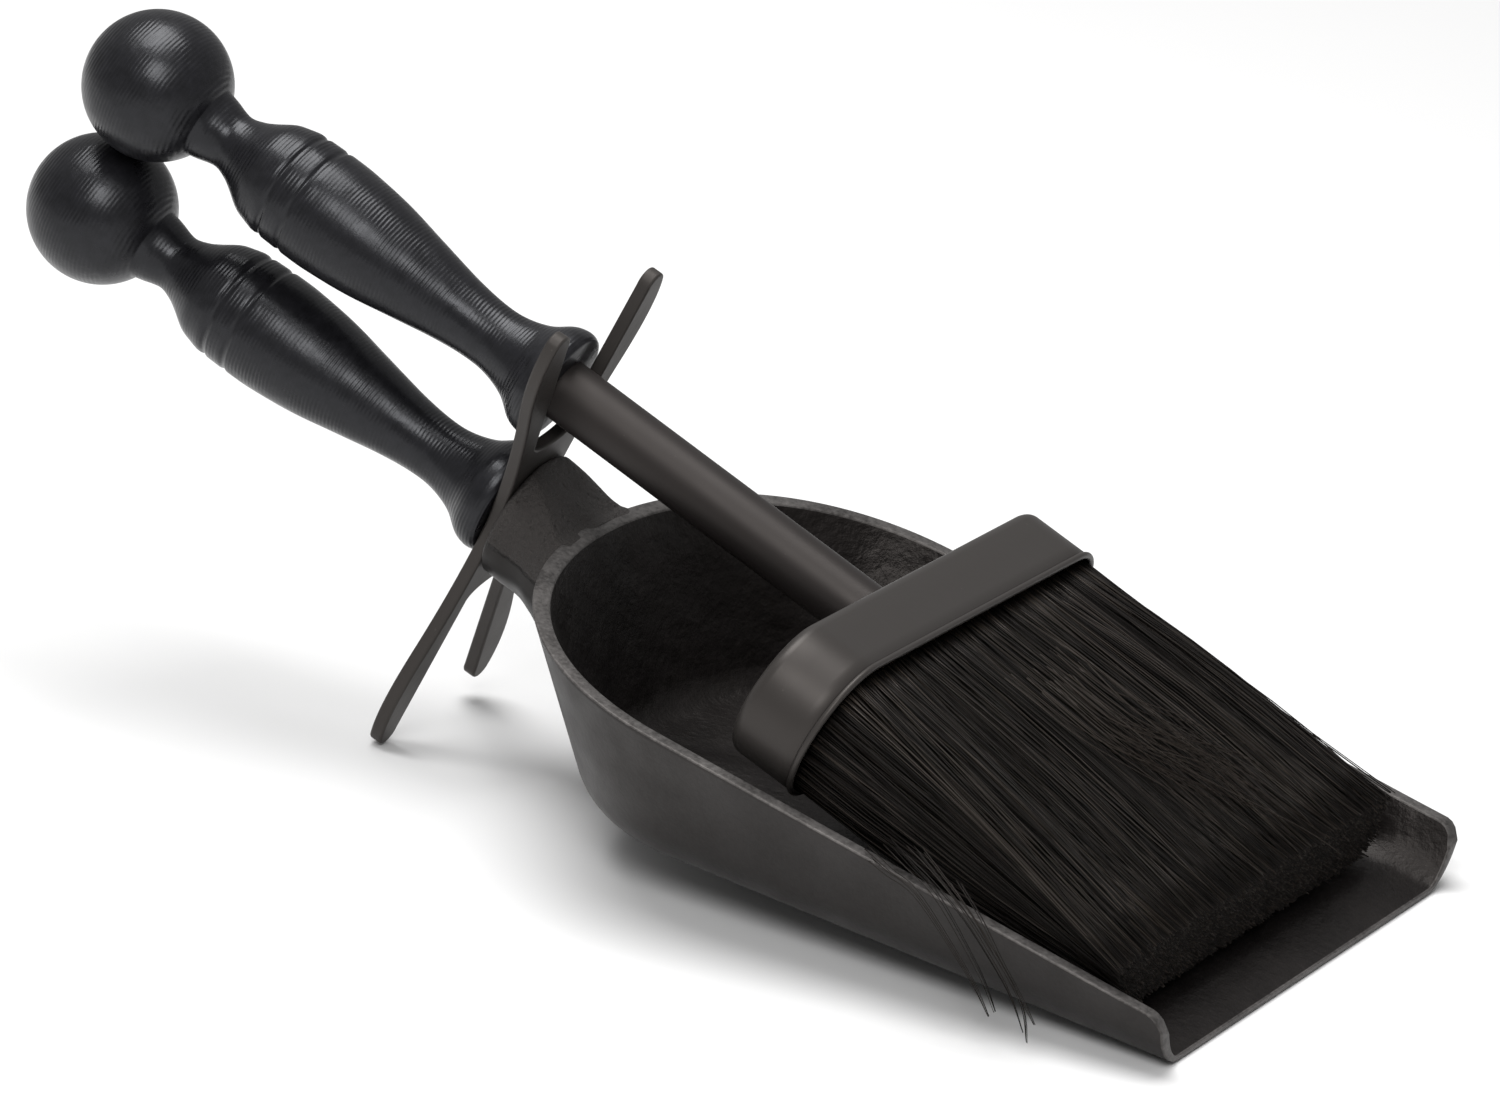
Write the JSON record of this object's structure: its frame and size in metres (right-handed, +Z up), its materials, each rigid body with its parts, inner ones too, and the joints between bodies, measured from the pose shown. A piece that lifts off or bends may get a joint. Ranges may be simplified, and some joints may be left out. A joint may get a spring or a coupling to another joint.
{
  "type": "dust pan and brush set",
  "caption": "Hearth dust pan and brush: cast-iron pan with ball-ended handle, X-shaped rest plate on the handle's stud, and a long-shafted flat brush lying in its fork.",
  "frame": {"origin": "under the middle of the whole set, on the ground that the pan's lip and the plate's lower foot stand on", "axes": "+Z up, -Y out of the pan's mouth, +Y towards the ball ends of the handles, +X to the right seen from the handles' end"},
  "size_m": [0.167, 0.3618, 0.1663],
  "materials": {
    "cast_iron": "satin black over a sand-cast surface",
    "plate_steel": "satin black powder coat",
    "handle_paint": "turned, satin black paint",
    "shaft_paint": "satin black paint",
    "ferrule_paint": "satin black paint",
    "zinc_steel": "zinc plated",
    "block_wood": "raw beech",
    "bristle": "black horse-hair bristle"
  },
  "bodies": {
    "pan": {"pan_casting": "cast_iron", "x_plate": "plate_steel", "pan_handle": "handle_paint", "pan_handle_stud": "zinc_steel"},
    "brush": {"brush_handle": "handle_paint", "brush_shaft_tube": "shaft_paint", "shaft_rear_plug": "zinc_steel", "shaft_front_plug": "zinc_steel", "brush_handle_stud": "zinc_steel", "brush_ferrule": "ferrule_paint", "brush_block": "block_wood", "head_washer": "zinc_steel", "head_screw": "zinc_steel", "bristle_row_1": "bristle", "bristle_row_2": "bristle", "bristle_row_3": "bristle", "bristle_row_4": "bristle", "bristle_row_5": "bristle", "bristle_row_6": "bristle"}
  },
  "joints": [
    {"name": "brush_lift", "type": "slide", "parent": "pan", "child": "brush", "axis": [0, 0, 1], "range_m": [0, 0.15]}
  ]
}
